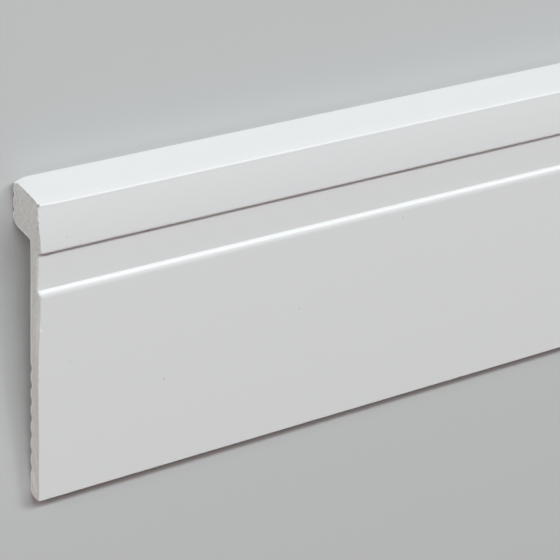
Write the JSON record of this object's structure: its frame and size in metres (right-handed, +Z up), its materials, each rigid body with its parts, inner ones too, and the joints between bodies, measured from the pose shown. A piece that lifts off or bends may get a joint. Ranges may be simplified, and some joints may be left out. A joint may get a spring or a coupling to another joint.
{
  "type": "skirting board length",
  "caption": "White cover skirting board in foamed polymer: sloping head with an overhanging lip, recessed band, ogee nose and tall plain field, open behind to fit over old skirting.",
  "frame": {"origin": "centre of the bottom of the bounding box, on the floor under the board as it lies on its back", "axes": "+X along the board, +Y from its foot towards its head, +Z up, out through its front face"},
  "size_m": [2, 0.121, 0.0166],
  "materials": {
    "skirting_board": "white extruded foamed polymer with a smooth satin skin and pale grey sawn ends"
  },
  "bodies": {
    "root": {"skirting_board": "skirting_board"}
  },
  "joints": []
}
